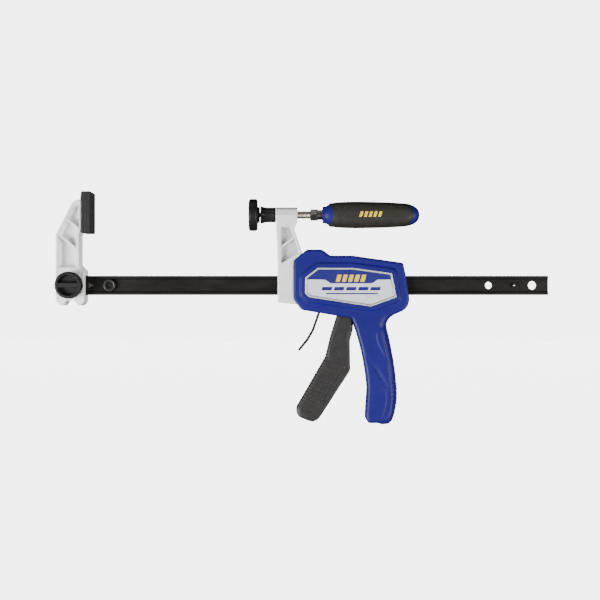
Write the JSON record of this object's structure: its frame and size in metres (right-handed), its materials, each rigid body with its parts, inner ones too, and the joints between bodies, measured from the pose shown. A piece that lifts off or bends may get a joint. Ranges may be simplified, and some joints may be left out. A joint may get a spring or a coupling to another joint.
{
  "type": "one-handed bar clamp",
  "caption": "One-handed bar clamp: fixed jaw with soft pad, sliding head with pistol grip, squeeze trigger, release lever and a screw-fed swivel pad.",
  "frame": {"origin": "on the clamping face of the fixed jaw's pad, where the axis of the clamping screw meets it", "axes": "+X along the bar from the fixed jaw to the free end, +Z from the bar towards the jaw tips with the grip pointing down, +Y away from the side that carries the locking knob"},
  "size_m": [0.5877, 0.0479, 0.2777],
  "materials": {
    "bar_steel": "satin black paint over rolled steel",
    "black_steel": "black oxide",
    "cast_aluminium": "die-cast, fine satin skin",
    "pad_rubber": "soft moulded elastomer",
    "zinc_steel": "bright zinc plate",
    "black_plastic": "glass-filled nylon",
    "blue_plastic": "moulded, satin gloss",
    "grip_rubber": "overmoulded elastomer",
    "label_plate": "printed plate with a raised satin frame",
    "trigger_plastic": "dark glass-filled nylon",
    "spring_steel": "bright wire"
  },
  "bodies": {
    "bar_frame": {"bar": "bar_steel", "fixed_jaw": "cast_aluminium", "fixed_pad": "pad_rubber", "front_stop_screw": "black_steel", "front_stop_nut": "black_steel", "rear_stop_pin": "black_steel", "jaw_nut": "zinc_steel"},
    "knob_carrier": {"knob_washer": "zinc_steel"},
    "knob": {"jaw_knob": "black_plastic", "knob_stud": "zinc_steel"},
    "moving_head": {"moving_jaw": "cast_aluminium", "screw_nut": "zinc_steel", "jaw_pin_high": "zinc_steel", "jaw_pin_low": "zinc_steel", "housing_near": "blue_plastic", "housing_far": "blue_plastic", "label_plate_near": "label_plate", "label_plate_far": "label_plate", "housing_screws": "black_steel", "rear_bar_guide": "black_plastic", "trigger_pivot_pin": "zinc_steel", "release_pin": "zinc_steel", "drive_spring": "spring_steel", "release_spring": "spring_steel"},
    "trigger": {"trigger_arm": "zinc_steel", "trigger_grip": "trigger_plastic"},
    "drive": {"drive_lever": "black_steel"},
    "release": {"release_lever": "zinc_steel"},
    "screw_carrier": {"ball_cup": "zinc_steel"},
    "screw": {"screw_rod": "zinc_steel", "screw_neck": "black_plastic", "hex_collar": "zinc_steel", "handle_ferrule": "zinc_steel", "handle_core": "blue_plastic", "handle_grip": "grip_rubber"},
    "pad_ring": {"retaining_ring": "zinc_steel"},
    "swivel": {"swivel_pad": "black_steel", "pad_face": "pad_rubber"}
  },
  "joints": [
    {"name": "jaw_slide", "type": "slide", "parent": "bar_frame", "child": "moving_head", "axis": [1, 0, 0], "range_m": [-0.184, 0.125]},
    {"name": "trigger_squeeze", "type": "hinge", "parent": "moving_head", "child": "trigger", "pos_m": [0.3, 0, -0.062], "axis": [0, -1, 0], "range_deg": [0, 14], "stiffness_Nm_per_rad": 2.4, "springref_deg": -14.32},
    {"name": "drive_slide", "type": "slide", "parent": "moving_head", "child": "drive", "axis": [1, 0, 0], "range_m": [0, 0.0099], "deforming": ["drive_spring"]},
    {"name": "release_pull", "type": "hinge", "parent": "moving_head", "child": "release", "pos_m": [0.2805, 0, -0.058], "axis": [0, -1, 0], "range_deg": [0, 6], "stiffness_Nm_per_rad": 0.8, "springref_deg": -8.59, "deforming": ["release_spring"]},
    {"name": "screw_feed", "type": "slide", "parent": "moving_head", "child": "screw_carrier", "axis": [-1, 0, 0], "range_m": [0, 0.014]},
    {"name": "screw_turn", "type": "hinge", "parent": "screw_carrier", "child": "screw", "pos_m": [0.1953, 0, 0], "axis": [-1, 0, 0], "range_deg": [0, 3180]},
    {"name": "pad_pitch", "type": "hinge", "parent": "screw_carrier", "child": "pad_ring", "pos_m": [0.1953, 0, 0], "axis": [0, 1, 0], "range_deg": [-5, 5]},
    {"name": "pad_yaw", "type": "hinge", "parent": "pad_ring", "child": "swivel", "pos_m": [0.1953, 0, 0], "axis": [0, 0, 1], "range_deg": [-5, 5]},
    {"name": "knob_travel", "type": "slide", "parent": "bar_frame", "child": "knob_carrier", "axis": [0, -1, 0], "range_m": [0, 0.0025]},
    {"name": "knob_turn", "type": "hinge", "parent": "knob_carrier", "child": "knob", "pos_m": [-0.025, 0, -0.0845], "axis": [0, -1, 0], "range_deg": [0, 602]}
  ],
  "couplings": [
    {"joint": "drive_slide", "follows": "trigger_squeeze", "m_per_rad": 0.04},
    {"joint": "screw_turn", "follows": "screw_feed", "rad_per_m": 3957.9},
    {"joint": "knob_turn", "follows": "knob_travel", "rad_per_m": 4188.8}
  ]
}
